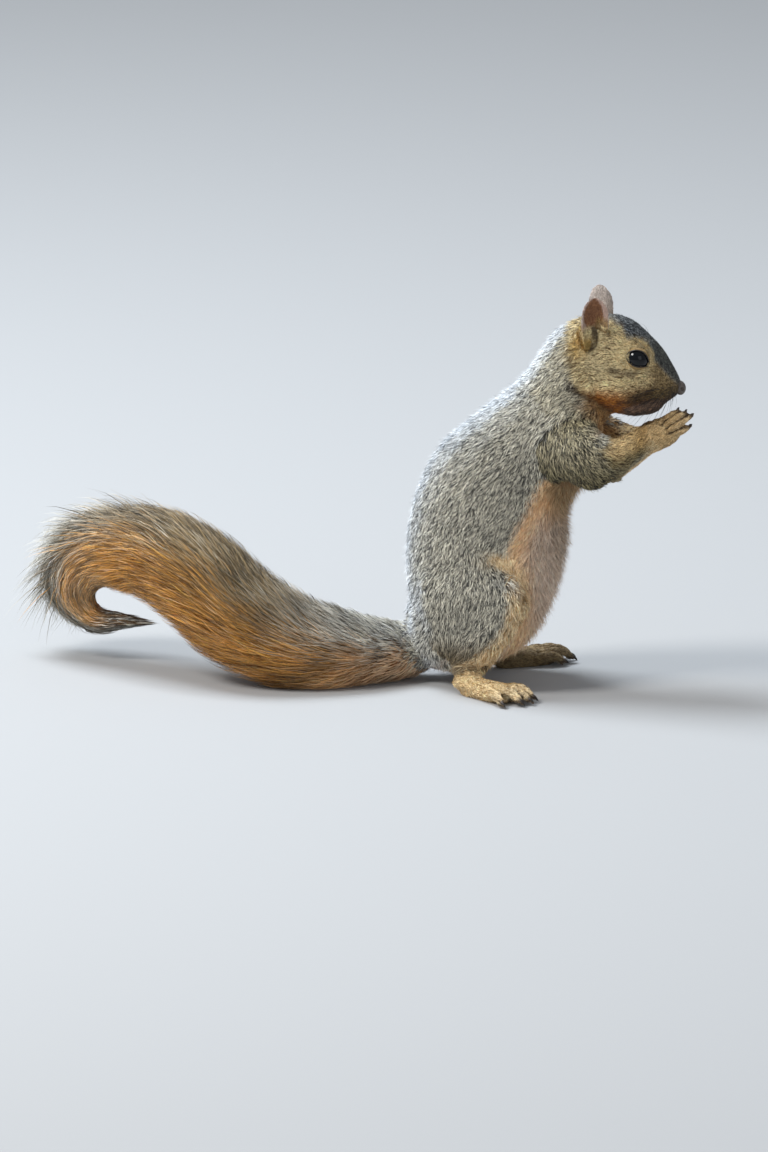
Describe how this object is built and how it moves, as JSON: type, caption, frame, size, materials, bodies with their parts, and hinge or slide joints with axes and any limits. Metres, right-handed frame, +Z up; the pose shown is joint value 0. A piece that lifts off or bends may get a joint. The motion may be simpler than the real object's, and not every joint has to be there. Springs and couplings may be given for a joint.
{
  "type": "fox squirrel",
  "caption": "Life-size squirrel sitting up on its hind feet, forepaws held to its mouth, bushy tail laid out behind with the tip curled under.",
  "frame": {"origin": "centre of the bounding box, at the level of the soles", "axes": "+X the way the squirrel faces and the longest extent, +Y its left side, +Z up"},
  "size_m": [0.3914, 0.1429, 0.2301],
  "materials": {
    "body_coat": "dense short fur, grizzled olive grey above, rust orange below",
    "tail_coat": "long fur, black and buff above, bright orange below",
    "foot_coat": "very short golden tan fur",
    "ear_skin": "thin skin with a fine down",
    "nose_pad": "bare damp pad",
    "eye": "wet, black",
    "claw": "horn"
  },
  "bodies": {
    "root": {"ear_left": "ear_skin", "ear_right": "ear_skin", "eye_left": "eye", "eye_right": "eye", "foot_claw_left_1": "claw", "foot_claw_left_2": "claw", "foot_claw_left_3": "claw", "foot_claw_left_4": "claw", "foot_claw_left_5": "claw", "foot_claw_right_1": "claw", "foot_claw_right_2": "claw", "foot_claw_right_3": "claw", "foot_claw_right_4": "claw", "foot_claw_right_5": "claw", "foot_left": "foot_coat", "foot_right": "foot_coat", "forearm_left": "body_coat", "forearm_right": "body_coat", "hand_claw_left_1": "claw", "hand_claw_left_2": "claw", "hand_claw_left_3": "claw", "hand_claw_left_4": "claw", "hand_claw_right_1": "claw", "hand_claw_right_2": "claw", "hand_claw_right_3": "claw", "hand_claw_right_4": "claw", "hand_left": "foot_coat", "hand_right": "foot_coat", "head": "body_coat", "neck": "body_coat", "nose": "nose_pad", "shank_left": "body_coat", "shank_right": "body_coat", "tail_1": "tail_coat", "tail_2": "tail_coat", "tail_3": "tail_coat", "tail_4": "tail_coat", "tail_5": "tail_coat", "thigh_left": "body_coat", "thigh_right": "body_coat", "trunk": "body_coat", "upper_arm_left": "body_coat", "upper_arm_right": "body_coat"}
  },
  "joints": []
}
